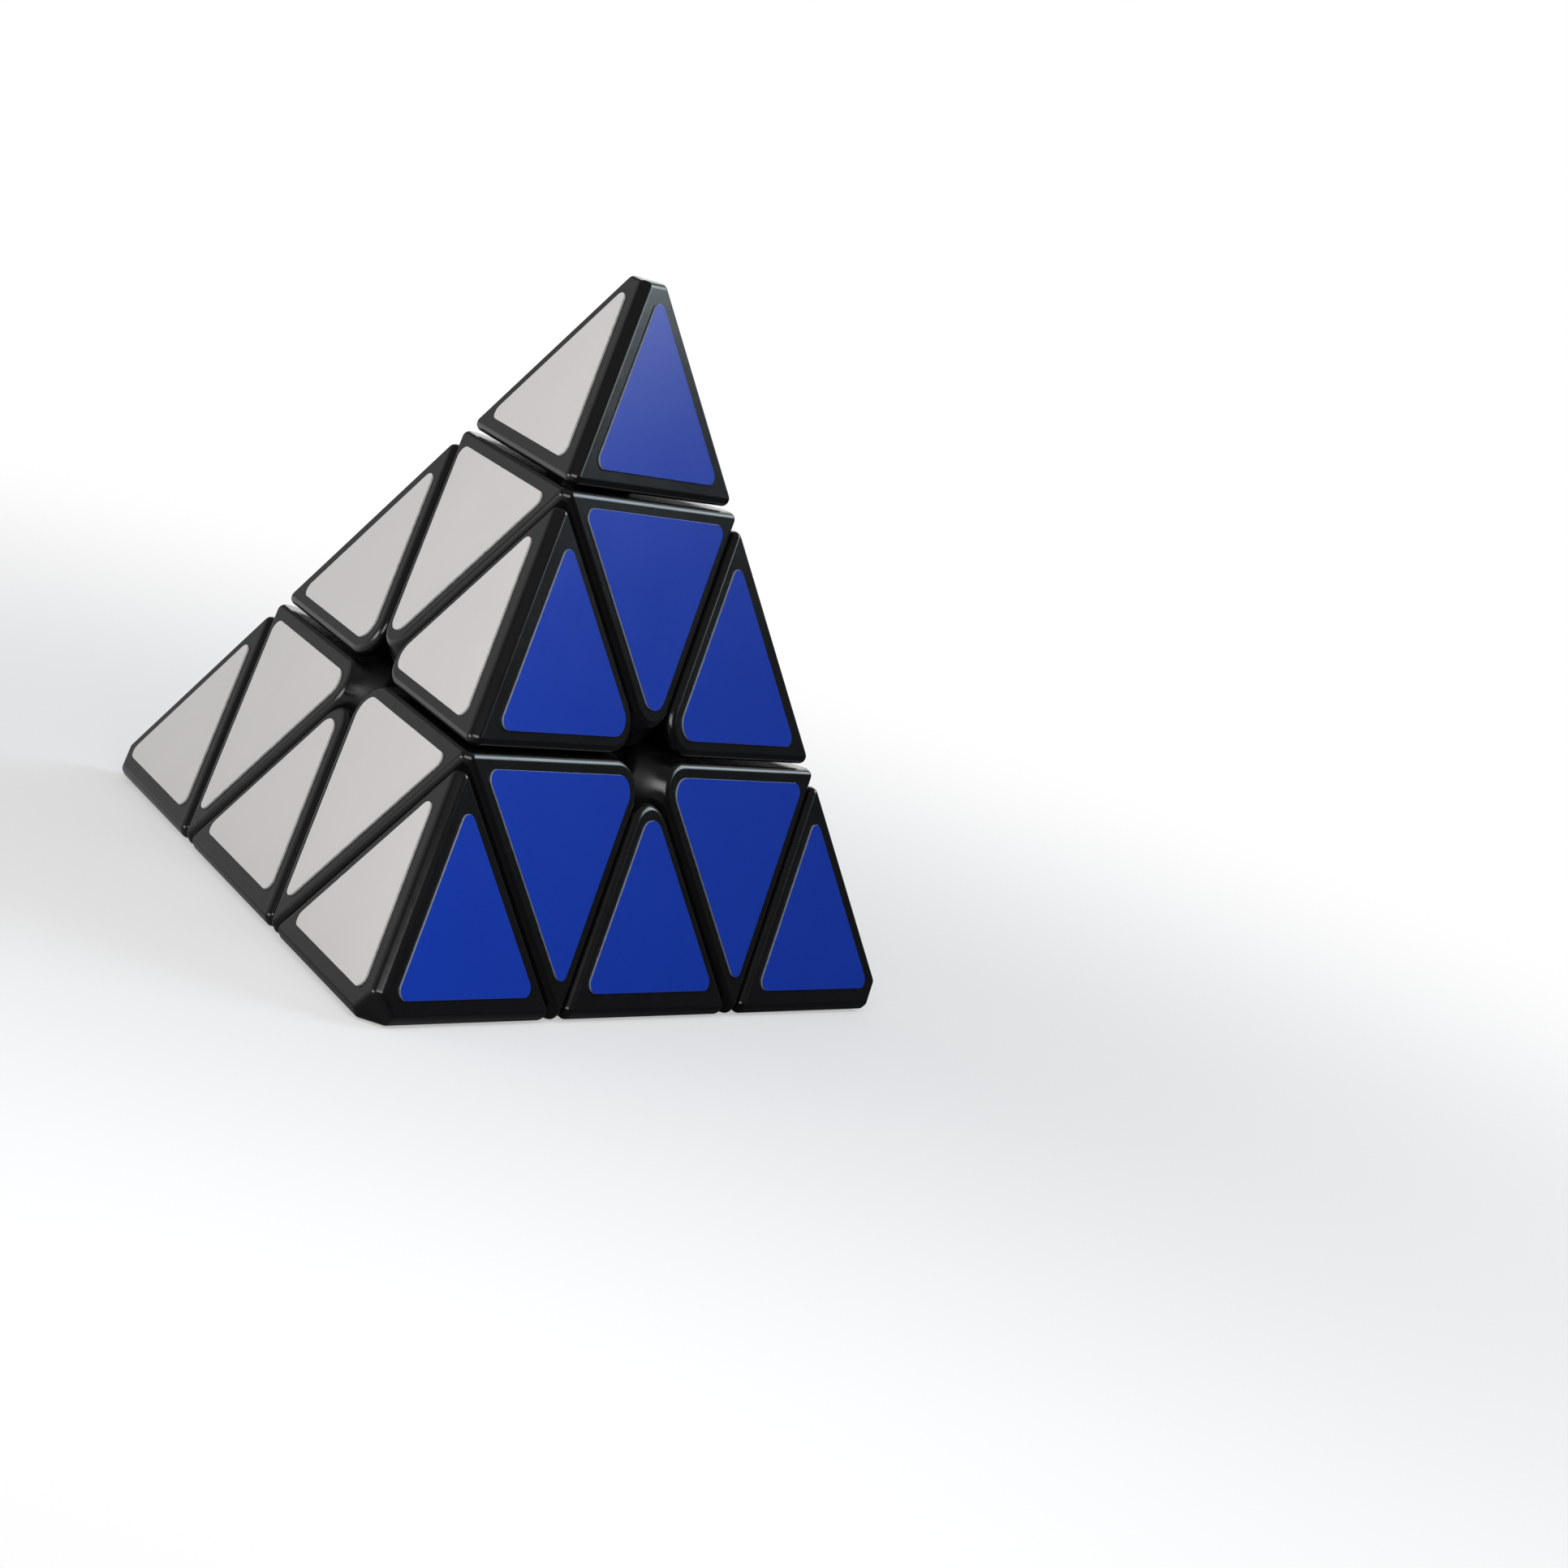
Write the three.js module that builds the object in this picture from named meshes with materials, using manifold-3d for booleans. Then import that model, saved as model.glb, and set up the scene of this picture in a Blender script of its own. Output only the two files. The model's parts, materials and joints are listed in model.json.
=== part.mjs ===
// Pyramid twisty puzzle: a tetrahedron cut into 4 tips, 4 axials and 6 edges that turn on one core.
//
// Millimetres, +Z up. The origin is the middle of the core, where the four turning axes cross.
// The top corner points along +Z, the front corner lies towards -Y, and the base is the face below.

import * as THREE from 'three';
import { ConvexGeometry } from 'three/addons/geometries/ConvexGeometry.js';
import { mergeVertices } from 'three/addons/utils/BufferGeometryUtils.js';
import Module from 'manifold-3d';

const wasm = await Module();
wasm.setup();

// Driving dimensions: the outside
const sharpEdge = 102; // edge of the tetrahedron before its ridges and corners are taken off
const gap = 0.4; // running gap between neighbouring pieces
const ridgeWidth = 1.25; // flat that runs along each of the six long ridges
const apexCut = 4.5; // depth of the sharp point that is missing from each tip
const edgeRound = 0.9; // radius along every outer edge of a piece
const starRound = 4.0; // radius of the six corners that meet around the middle of a face

// Driving dimensions: the stickers
const stickerThickness = 0.2;
const adhesiveThickness = 0.05;
const stickerRound = 1.1;
const stickerStarRound = 2.0; // at the corner next to the middle of a face
const tipStickerInset = { outerEdge: 3.0, tipCut: 2.6 };
const axialStickerInset = { tipCut: 1.8, layerCut: 1.8 };
const edgeStickerInset = { outerEdge: 3.2, layerCut: 2.4 };

// Driving dimensions: the mechanism
const coreRadius = 9.3;
const boss = { radius: 4.5, seat: 9.5 }; // flat seat on the core under each axial
const foot = { inner: 9.8, outer: 15.0, halfAngle: 69 }; // edge feet fill this shell within two cones
const footClearance = 0.4;
const neckRadius = 15.8; // the neck joins an edge to its foot inside this radius
const neckRound = 0.6;
const stem = { radius: 5.5, bottom: 9.9, root: 18 }; // the axial's tube, standing on the core's seat
const screwBore = { radius: 1.8, top: 12.5 };
const springChamber = { radius: 3.9, top: 24 };
const socket = { radius: 5.2, undercutRadius: 6.2, undercutBottom: 28.5, undercutTop: 31 };
const threadedHole = { radius: 1.6, bottom: 3.0 };
const screw = {
  shankRadius: 1.45,
  pointRadius: 0.9,
  point: 3.6,
  washerRadius: 3.5,
  washerBottom: 20.2,
  headBottom: 20.8,
  headRadius: 2.8,
  headTop: 22.8,
  recess: { width: 0.9, length: 3.4, depth: 1.2 },
};
const spring = { wire: 0.7, coilRadius: 3.0, bottom: 12.8, top: 19.9, turns: 5, endPitch: 0.8 };
const clip = {
  bottom: 27.6,
  noseRadius: 5.0,
  barbBottom: 28.9,
  barbMiddle: 29.6,
  barbTop: 30.6,
  barbRadius: 5.8,
  radius: 4.9,
  bore: 3.4,
  root: 38,
  slotWidth: 1.2,
  slotTop: 33.5,
};
const tipWall = 3.0;

// How finely curved surfaces are divided
const filletStep = THREE.MathUtils.degToRad(55);
const starStep = THREE.MathUtils.degToRad(28);
const roundSegments = 16;
const ballSegments = 24;
const coneSegments = 24;
const shellSegments = 16;
const coilSteps = 9; // along one turn of a spring
const arcDivisions = 2; // half the number of steps in a rounded corner of a sticker

// Sizes that follow from the sharp edge
const height = sharpEdge * Math.sqrt(2 / 3);
const faceHeight = (sharpEdge * Math.sqrt(3)) / 2;
const cornerDistance = (3 / 4) * height;
const faceDistance = height / 4;
const layerCut = height / 12;
const tipCut = (5 / 12) * height;
const ridgeDistance = sharpEdge / (2 * Math.SQRT2) - ridgeWidth / Math.SQRT2;

// The four corners, as unit directions from the core
const baseRadius = sharpEdge / Math.sqrt(3);
const corner = (x, y, z) => new THREE.Vector3(x, y, z).normalize();
const corners = {
  top: corner(0, 0, cornerDistance),
  front: corner(0, -baseRadius, -faceDistance),
  left: corner(-sharpEdge / 2, baseRadius / 2, -faceDistance),
  right: corner(sharpEdge / 2, baseRadius / 2, -faceDistance),
};
const cornerNames = Object.keys(corners);

// Each face is named by its colour and lies opposite one corner
const faceOpposite = { right: 'white', left: 'blue', front: 'red', top: 'green' };

const finishes = {
  blackPlastic: { color: 0x141416, roughness: 0.32, metalness: 0 },
  corePlastic: { color: 0x1c1c1f, roughness: 0.45, metalness: 0 },
  steel: { color: 0x9a9ca0, roughness: 0.3, metalness: 1 },
  springSteel: { color: 0xb4b6ba, roughness: 0.25, metalness: 1 },
  white: { color: 0xc4c2c2, roughness: 0.4, metalness: 0 },
  blue: { color: 0x1b369b, roughness: 0.4, metalness: 0 },
  red: { color: 0xb3202a, roughness: 0.4, metalness: 0 },
  green: { color: 0x0f8a3c, roughness: 0.4, metalness: 0 },
};

// Solids

function positionsOnly(geometry) {
  const plain = geometry.clone();
  for (const name of Object.keys(plain.attributes)) {
    if (name !== 'position') plain.deleteAttribute(name);
  }
  return mergeVertices(plain, 1e-4);
}

function solidFrom(geometry) {
  const merged = positionsOnly(geometry);
  const vertProperties = new Float32Array(merged.attributes.position.array);
  const triVerts = new Uint32Array(merged.index.array);
  return new wasm.Manifold(new wasm.Mesh({ numProp: 3, vertProperties, triVerts }));
}

function geometryFrom(solid) {
  const mesh = solid.getMesh();
  const geometry = new THREE.BufferGeometry();
  geometry.setAttribute('position', new THREE.BufferAttribute(mesh.vertProperties, 3));
  geometry.setIndex(new THREE.BufferAttribute(mesh.triVerts, 1));
  geometry.computeVertexNormals();
  return geometry;
}

// A solid of revolution about +Z; each point is [radius, z] and the outline closes on the axis
function turned(outline, segments = roundSegments) {
  const points = outline.map(([radius, z]) => new THREE.Vector2(radius, z));
  const geometry = new THREE.LatheGeometry(points, segments);
  geometry.rotateX(Math.PI / 2);
  return solidFrom(geometry);
}

function cylinder(radius, bottom, top) {
  return turned([[0, bottom], [radius, bottom], [radius, top], [0, top]]);
}

function ball(radius) {
  const geometry = new THREE.SphereGeometry(radius, ballSegments, ballSegments / 2);
  return solidFrom(geometry.rotateX(Math.PI / 2));
}

function block(width, depth, bottom, top, turn) {
  const geometry = new THREE.BoxGeometry(width, depth, top - bottom);
  geometry.translate(0, 0, (bottom + top) / 2);
  geometry.rotateZ(turn);
  return solidFrom(geometry);
}

// Flat-sided bodies with rounded edges

const plane = (normal, offset) => ({ normal: normal.clone(), offset });
const opposite = (direction) => direction.clone().negate();

// Where three planes meet, if they meet in one point
function meetingPoint(a, b, c) {
  const bc = b.normal.clone().cross(c.normal);
  const spread = a.normal.dot(bc);
  if (Math.abs(spread) < 1e-6) return null;
  const point = bc.multiplyScalar(a.offset);
  point.addScaledVector(c.normal.clone().cross(a.normal), b.offset);
  point.addScaledVector(a.normal.clone().cross(b.normal), c.offset);
  return point.divideScalar(spread);
}

// The corner points of the body inside all the planes, each with the planes that touch it
function bodyCorners(planes) {
  const found = [];
  for (let i = 0; i < planes.length; i += 1) {
    for (let j = i + 1; j < planes.length; j += 1) {
      for (let k = j + 1; k < planes.length; k += 1) {
        const point = meetingPoint(planes[i], planes[j], planes[k]);
        const inside = point && planes.every(({ normal, offset }) => normal.dot(point) < offset + 1e-6);
        const known = inside && found.some((other) => other.point.distanceTo(point) < 1e-4);
        if (inside && !known) {
          const touching = planes.filter(({ normal, offset }) => normal.dot(point) > offset - 1e-5);
          found.push({ point, normals: touching.map(({ normal }) => normal) });
        }
      }
    }
  }
  return found;
}

// Unit directions from one to another, no further apart than the step, both ends included
function fan(from, to, largestStep) {
  const angle = from.angleTo(to);
  const steps = Math.ceil(angle / largestStep);
  const directions = [];
  for (let step = 0; step <= steps; step += 1) {
    const share = step / steps;
    const direction = from.clone().multiplyScalar(Math.sin((1 - share) * angle));
    direction.addScaledVector(to, Math.sin(share * angle));
    directions.push(direction.normalize());
  }
  return directions;
}

// The hull of a ball of the given radius standing in every corner of the body. Of each ball, only
// the directions that the planes around that corner leave open are kept.
function roundedBody(planes, radius) {
  const inset = planes.map(({ normal, offset }) => plane(normal, offset - radius));
  const found = bodyCorners(inset);
  const points = [];
  found.forEach(({ point, normals }, index) => {
    const others = found.filter((_, other) => other !== index);
    const neighbours = (a, b) => (
      others.some((other) => other.normals.includes(a) && other.normals.includes(b))
    );
    const directions = [...normals];
    normals.forEach((from, place) => {
      const next = normals.slice(place + 1).filter((to) => neighbours(from, to));
      next.forEach((to) => directions.push(...fan(from, to, filletStep).slice(1, -1)));
    });
    directions.forEach((direction) => points.push(point.clone().addScaledVector(direction, radius)));
  });
  return solidFrom(new ConvexGeometry(points));
}

function sharpBody(planes) {
  return solidFrom(new ConvexGeometry(bodyCorners(planes).map(({ point }) => point)));
}

// Extra planes that round the edge between two planes with a large radius
function roundingPlanes(a, b, radius) {
  const bisector = a.normal.clone().add(b.normal).normalize();
  const halfTurn = a.normal.angleTo(b.normal) / 2;
  const onEdge = bisector.clone().multiplyScalar(a.offset / Math.cos(halfTurn));
  const centre = onEdge.addScaledVector(bisector, -radius / Math.cos(halfTurn));
  const between = fan(a.normal, b.normal, starStep).slice(1, -1);
  return between.map((normal) => plane(normal, normal.dot(centre) + radius));
}

// Pieces, each in a frame of its own with the core at the origin and +Z pointing out of the puzzle.
// For a tip and an axial, +Z is their turning axis and the other three corners lie below.

const otherCorners = [corners.front, corners.left, corners.right];
const outerFaces = otherCorners.map((direction) => plane(opposite(direction), faceDistance));
const up = corners.top;
const ridges = otherCorners.map((direction) => plane(up.clone().add(direction).normalize(), ridgeDistance));

function axialSolid() {
  const cuts = otherCorners.map((direction) => plane(direction, layerCut - gap / 2));
  const starRounding = cuts.flatMap((cut, index) => roundingPlanes(cut, cuts[(index + 1) % 3], starRound));
  const bottom = plane(opposite(up), -layerCut - gap / 2);
  const top = plane(up, tipCut - gap / 2);
  const body = roundedBody([bottom, top, ...outerFaces, ...ridges, ...cuts, ...starRounding], edgeRound);
  const hollow = ball(foot.outer + footClearance);
  const bore = cylinder(screwBore.radius, 0, screwBore.top + 1);
  const chamber = cylinder(springChamber.radius, screwBore.top, springChamber.top + 1);
  const mouth = cylinder(socket.radius, springChamber.top, tipCut + 1);
  const undercut = cylinder(socket.undercutRadius, socket.undercutBottom, socket.undercutTop);
  const tube = cylinder(stem.radius, stem.bottom, stem.root);
  return body.subtract(hollow).add(tube).subtract(bore).subtract(chamber).subtract(mouth).subtract(undercut);
}

function tipSolid() {
  const base = plane(opposite(up), -tipCut - gap / 2);
  const apex = plane(up, cornerDistance - apexCut);
  const shell = roundedBody([base, apex, ...outerFaces, ...ridges], edgeRound);
  const innerPlanes = [base, ...outerFaces].map(({ normal, offset }) => plane(normal, offset - tipWall));
  const cavity = sharpBody(innerPlanes);
  const stalk = turned([
    [0, clip.bottom],
    [clip.noseRadius - 0.4, clip.bottom],
    [clip.noseRadius, clip.barbBottom],
    [clip.barbRadius, clip.barbMiddle],
    [clip.barbRadius, clip.barbTop - 0.3],
    [clip.radius, clip.barbTop],
    [clip.radius, clip.root - 1],
    [0, clip.root - 1],
  ]);
  let tip = shell.subtract(cavity).add(stalk).subtract(cylinder(clip.bore, clip.bottom - 1, clip.root));
  for (let slot = 0; slot < 3; slot += 1) {
    const turn = (slot * Math.PI) / 3;
    tip = tip.subtract(block(3 * clip.radius, clip.slotWidth, clip.bottom - 1, clip.slotTop, turn));
  }
  return tip;
}

// An edge piece: +Z points to the middle of the puzzle's edge, which runs along X
const edgeCorners = [1, -1].map((side) => corner(side * Math.sqrt(2), 0, 1));
const edgeFaces = [1, -1].map((side) => plane(corner(0, side * Math.sqrt(2), 1), faceDistance));
const edgeRidge = plane(corner(0, 0, 1), ridgeDistance);

// A cone with its point on the core's middle, opening along a direction
function coneAlong(direction) {
  const length = foot.outer + 1;
  const radius = length * Math.tan(THREE.MathUtils.degToRad(foot.halfAngle));
  const cone = new THREE.ConeGeometry(radius, length, coneSegments);
  cone.translate(0, -length / 2, 0);
  const turn = new THREE.Quaternion().setFromUnitVectors(new THREE.Vector3(0, -1, 0), direction);
  return solidFrom(cone.applyQuaternion(turn));
}

function footSolid() {
  const reach = THREE.MathUtils.degToRad(60);
  const steps = 4;
  const arc = (radius) => Array.from({ length: steps + 1 }, (_, step) => {
    const angle = (reach * step) / steps;
    return [radius * Math.sin(angle), radius * Math.cos(angle)];
  });
  const shell = turned([...arc(foot.inner), ...arc(foot.outer).reverse()], shellSegments);
  return edgeCorners.reduce((solid, direction) => solid.intersect(coneAlong(direction)), shell);
}

function edgeSolid() {
  const cuts = edgeCorners.map((direction) => plane(opposite(direction), -layerCut - gap / 2));
  const starRounding = roundingPlanes(...cuts, starRound);
  const body = roundedBody([...cuts, ...edgeFaces, edgeRidge, ...starRounding], edgeRound);
  const neck = roundedBody([...cuts, ...edgeFaces], neckRound).intersect(ball(neckRadius));
  return body.add(neck).add(footSolid());
}

function coreSolid() {
  let core = ball(coreRadius);
  const towards = (solid, direction) => {
    const turn = new THREE.Matrix4().makeRotationFromQuaternion(
      new THREE.Quaternion().setFromUnitVectors(up, direction),
    );
    return solid.transform(turn.elements);
  };
  const seat = cylinder(boss.radius, coreRadius / 2, boss.seat);
  const hole = cylinder(threadedHole.radius, threadedHole.bottom, boss.seat + 1);
  for (const direction of Object.values(corners)) core = core.add(towards(seat, direction));
  for (const direction of Object.values(corners)) core = core.subtract(towards(hole, direction));
  return core;
}

function screwSolid() {
  const body = turned([
    [0, screw.point],
    [screw.pointRadius, screw.point],
    [screw.shankRadius, screw.point + 1],
    [screw.shankRadius, screw.washerBottom],
    [screw.washerRadius, screw.washerBottom],
    [screw.washerRadius, screw.headBottom],
    [screw.headRadius, screw.headBottom],
    [screw.headRadius, screw.headTop - 0.7],
    [screw.headRadius - 0.9, screw.headTop],
    [0, screw.headTop],
  ]);
  const { width, length, depth } = screw.recess;
  const slots = [0, Math.PI / 2].map((turn) => (
    block(length, width, screw.headTop - depth, screw.headTop + 1, turn)
  ));
  return body.subtract(slots[0]).subtract(slots[1]);
}

// A coil with close turns at both ends, so that each end bears flat
class CoilCurve extends THREE.Curve {
  getPoint(share, target = new THREE.Vector3()) {
    const low = spring.bottom + spring.wire / 2;
    const high = spring.top - spring.wire / 2;
    const turn = share * spring.turns;
    const openPitch = (high - low - 2 * spring.endPitch) / (spring.turns - 2);
    const open = THREE.MathUtils.clamp(turn - 1, 0, spring.turns - 2);
    const closed = turn - open;
    const angle = 2 * Math.PI * turn;
    const radius = spring.coilRadius;
    const z = low + closed * spring.endPitch + open * openPitch;
    return target.set(radius * Math.cos(angle), radius * Math.sin(angle), z);
  }
}

function springGeometry() {
  const section = new THREE.Shape();
  section.absarc(0, 0, spring.wire / 2, 0, 2 * Math.PI);
  return new THREE.ExtrudeGeometry(section, {
    steps: coilSteps * spring.turns,
    curveSegments: 3,
    extrudePath: new CoilCurve(),
  });
}

// A triangle with rounded corners, its flat side on X and its point along +Y
function stickerGeometry(pointHeight, pointRound) {
  const halfWidth = pointHeight / Math.sqrt(3);
  const third = (2 * Math.PI) / 3;
  const outline = new THREE.Shape();
  const roundCorner = (x, y, radius, middle) => {
    const away = middle + Math.PI;
    const centreX = x + 2 * radius * Math.cos(away);
    const centreY = y + 2 * radius * Math.sin(away);
    outline.absarc(centreX, centreY, radius, middle - third / 2, middle + third / 2, false);
  };
  roundCorner(halfWidth, 0, stickerRound, -Math.PI / 6);
  roundCorner(0, pointHeight, pointRound, Math.PI / 2);
  roundCorner(-halfWidth, 0, stickerRound, (7 * Math.PI) / 6);
  return new THREE.ExtrudeGeometry(outline, {
    depth: stickerThickness,
    bevelEnabled: false,
    curveSegments: arcDivisions,
  });
}

// Assembly

const puzzle = new THREE.Group();

function piece(name, geometry, finish) {
  const mesh = new THREE.Mesh(geometry, new THREE.MeshStandardMaterial(finish));
  mesh.name = name;
  return mesh;
}

// The half turn that swaps the top corner and another one leaves the puzzle's shape as it is
function cornerGroup(direction) {
  const group = new THREE.Group();
  const axis = up.clone().add(direction).normalize();
  if (direction !== up) group.quaternion.setFromAxisAngle(axis, Math.PI);
  return group;
}

function addCornerPieces() {
  const axial = geometryFrom(axialSolid());
  const tip = geometryFrom(tipSolid());
  const screwShape = geometryFrom(screwSolid());
  const springShape = springGeometry();
  for (const name of cornerNames) {
    const group = cornerGroup(corners[name]);
    group.add(piece(`${name}_axial`, axial, finishes.blackPlastic));
    group.add(piece(`${name}_tip`, tip, finishes.blackPlastic));
    group.add(piece(`${name}_screw`, screwShape, finishes.steel));
    group.add(piece(`${name}_spring`, springShape, finishes.springSteel));
    puzzle.add(group);
  }
}

const edgeName = (a, b) => `${a}_${b}_edge`;

function addEdgePieces() {
  const edge = geometryFrom(edgeSolid());
  cornerNames.forEach((first, index) => {
    for (const second of cornerNames.slice(index + 1)) {
      const along = corners[first].clone().sub(corners[second]).normalize();
      const outward = corners[first].clone().add(corners[second]).normalize();
      const across = outward.clone().cross(along);
      const group = new THREE.Group();
      group.quaternion.setFromRotationMatrix(new THREE.Matrix4().makeBasis(along, across, outward));
      group.add(piece(edgeName(first, second), edge, finishes.blackPlastic));
      puzzle.add(group);
    }
  });
}

// In a face, y runs from the face's middle towards one of its corners
const stickers = {
  tip: {
    flat: faceHeight / 3 + tipStickerInset.tipCut,
    point: (2 / 3) * faceHeight - 2 * tipStickerInset.outerEdge,
    pointRound: stickerRound,
  },
  axial: {
    flat: faceHeight / 3 - axialStickerInset.tipCut,
    point: 2 * axialStickerInset.layerCut,
    pointRound: stickerStarRound,
  },
  edge: {
    flat: -faceHeight / 3 + edgeStickerInset.outerEdge,
    point: -2 * edgeStickerInset.layerCut,
    pointRound: stickerStarRound,
  },
};

function addStickers() {
  for (const opposed of cornerNames) {
    const colour = faceOpposite[opposed];
    const outward = opposite(corners[opposed]);
    const around = cornerNames.filter((name) => name !== opposed);
    for (const name of around) {
      const towards = corners[name].clone().projectOnPlane(outward).normalize();
      const across = towards.clone().cross(outward);
      const face = new THREE.Group();
      face.quaternion.setFromRotationMatrix(new THREE.Matrix4().makeBasis(across, towards, outward));
      face.position.copy(outward).multiplyScalar(faceDistance + adhesiveThickness);
      const far = around.filter((other) => other !== name);
      const owners = { tip: `${name}_tip`, axial: `${name}_axial`, edge: edgeName(...far) };
      for (const [kind, { flat, point, pointRound }] of Object.entries(stickers)) {
        const shape = stickerGeometry(Math.abs(point - flat), pointRound);
        const sticker = piece(`${colour}_sticker_${owners[kind]}`, shape, finishes[colour]);
        sticker.position.y = flat;
        if (point < flat) sticker.rotation.z = Math.PI;
        face.add(sticker);
      }
      puzzle.add(face);
    }
  }
}

puzzle.add(piece('core', geometryFrom(coreSolid()), finishes.corePlastic));
addCornerPieces();
addEdgePieces();
addStickers();

export default puzzle;
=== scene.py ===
import json
import math
import random
from itertools import combinations

import bmesh
import bpy
from mathutils import Matrix, Quaternion, Vector


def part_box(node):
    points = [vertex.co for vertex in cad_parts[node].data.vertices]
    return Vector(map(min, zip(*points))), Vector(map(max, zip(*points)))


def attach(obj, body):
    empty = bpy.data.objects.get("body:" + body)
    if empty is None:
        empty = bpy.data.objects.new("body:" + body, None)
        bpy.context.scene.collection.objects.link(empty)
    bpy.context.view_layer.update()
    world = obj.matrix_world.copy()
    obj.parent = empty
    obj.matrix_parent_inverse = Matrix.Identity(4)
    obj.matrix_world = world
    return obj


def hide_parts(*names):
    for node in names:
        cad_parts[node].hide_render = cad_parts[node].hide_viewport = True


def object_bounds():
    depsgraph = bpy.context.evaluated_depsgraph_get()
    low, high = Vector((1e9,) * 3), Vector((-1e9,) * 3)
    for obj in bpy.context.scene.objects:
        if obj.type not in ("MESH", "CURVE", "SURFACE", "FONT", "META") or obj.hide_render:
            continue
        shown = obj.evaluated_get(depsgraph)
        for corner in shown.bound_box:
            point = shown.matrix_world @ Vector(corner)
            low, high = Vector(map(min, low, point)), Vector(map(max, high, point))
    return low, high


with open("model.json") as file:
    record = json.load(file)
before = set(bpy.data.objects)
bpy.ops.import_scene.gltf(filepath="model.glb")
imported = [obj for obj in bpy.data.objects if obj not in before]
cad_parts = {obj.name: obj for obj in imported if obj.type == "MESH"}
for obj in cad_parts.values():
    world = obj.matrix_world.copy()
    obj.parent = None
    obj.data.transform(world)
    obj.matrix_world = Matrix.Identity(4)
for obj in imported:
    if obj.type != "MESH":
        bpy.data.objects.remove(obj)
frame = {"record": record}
cadBox = [list(point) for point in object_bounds()]

mm = 0.001  # meshes are made in millimetres and brought to metres once, in addPiece

# The four corners, as directions from the core; the CAD frame has the top corner on +Z
up = Vector((0, 0, 1))
corners = {
    "top": up,
    "front": Vector((0, -math.sqrt(8), -1)).normalized(),
    "left": Vector((-math.sqrt(6), math.sqrt(2), -1)).normalized(),
    "right": Vector((math.sqrt(6), math.sqrt(2), -1)).normalized(),
}
cornerNames = list(corners)
otherCorners = [corners[name] for name in cornerNames[1:]]

# The base vinyl tells how far a face is from the core, and every cut follows from that
adhesive = 0.05
faceDistance = -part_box("green_sticker_front_axial")[1].z / mm - adhesive
sharpEdge = 4 * faceDistance / math.sqrt(2 / 3)
faceHeight = sharpEdge * math.sqrt(3) / 2
layerCut = faceDistance / 3
tipCut = faceDistance * 5 / 3
print("faces", round(faceDistance, 3), "mm from the core, sharp edge", round(sharpEdge, 2), "mm")


# Meshes


def meetingPoint(a, b, c):
    across = b[0].cross(c[0])
    spread = a[0].dot(across)
    if abs(spread) < 1e-6:
        return None
    return (a[1] * across + b[1] * c[0].cross(a[0]) + c[1] * a[0].cross(b[0])) / spread


def bodyCorners(planes):  # where the planes of a convex body meet, each with the planes that touch there
    found = []
    for trio in combinations(range(len(planes)), 3):
        point = meetingPoint(*[planes[index] for index in trio])
        if point is None or any(normal.dot(point) > offset + 1e-5 for normal, offset in planes):
            continue
        if any((point - other).length < 1e-3 for other, _ in found):
            continue
        touching = [i for i, (normal, offset) in enumerate(planes) if normal.dot(point) > offset - 1e-4]
        found.append((point, touching))
    return found


def around(items, directions, axis):  # the items in the order that their directions go round the axis
    start = axis.orthogonal().normalized()
    side = axis.cross(start)
    angles = [math.atan2(direction.dot(side), direction.dot(start)) for direction in directions]
    return [item for _, item in sorted(zip(angles, items), key=lambda pair: pair[0])]


def roundedBody(planes, radius, steps):
    # flats, a fillet of quads along every edge, and a patch of a ball in every corner
    normals = [normal for normal, _ in planes]
    found = bodyCorners([(normal, offset - radius) for normal, offset in planes])
    form = bmesh.new()
    known = {}

    def vertex(corner, a, b=None, step=0):
        if b is None or step == 0:
            key, direction = (corner, a), normals[a]
        elif step == steps:
            key, direction = (corner, b), normals[b]
        else:
            low, high = sorted((a, b))
            step = step if low == a else steps - step
            key, direction = (corner, low, high, step), normals[low].slerp(normals[high], step / steps)
        if key not in known:
            known[key] = form.verts.new(found[corner][0] + direction * radius)
        return known[key]

    for index, normal in enumerate(normals):  # flats
        touched = [number for number, (_, touching) in enumerate(found) if index in touching]
        if len(touched) < 3:
            continue
        middle = sum((found[number][0] for number in touched), Vector()) / len(touched)
        ring = around(touched, [found[number][0] - middle for number in touched], normal)
        form.faces.new([vertex(number, index) for number in ring])
    for one, two in combinations(range(len(found)), 2):  # fillets
        shared = [index for index in found[one][1] if index in found[two][1]]
        if len(shared) == 2:
            for step in range(steps):
                form.faces.new([vertex(one, *shared, step), vertex(one, *shared, step + 1),
                                vertex(two, *shared, step + 1), vertex(two, *shared, step)])
    for number, (point, touching) in enumerate(found):  # corners
        middle = sum((normals[index] for index in touching), Vector()).normalized()
        ring = around(touching, [normals[index] for index in touching], middle)
        for b, c in zip(ring[1:], ring[2:]):
            cornerPatch(form, vertex, number, point, (ring[0], b, c), normals, radius, steps)
    bmesh.ops.remove_doubles(form, verts=form.verts, dist=1e-4)
    bmesh.ops.recalc_face_normals(form, faces=form.faces)
    return asMesh(form)


def cornerPatch(form, vertex, number, point, trio, normals, radius, steps):
    a, b, c = trio
    rows = [[vertex(number, a)]]
    for row in range(1, steps + 1):
        share = row / steps
        toB = normals[a].slerp(normals[b], share)
        toC = normals[a].slerp(normals[c], share)
        line = [vertex(number, a, b, row)]
        for place in range(1, row):
            if row == steps:
                line.append(vertex(number, b, c, place))
            else:
                line.append(form.verts.new(point + toB.slerp(toC, place / row) * radius))
        line.append(vertex(number, a, c, row))
        rows.append(line)
    for upper, lower in zip(rows, rows[1:]):
        for place in range(len(upper)):
            form.faces.new([upper[place], lower[place], lower[place + 1]])
            if place + 1 < len(upper):
                form.faces.new([upper[place], lower[place + 1], upper[place + 1]])


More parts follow.
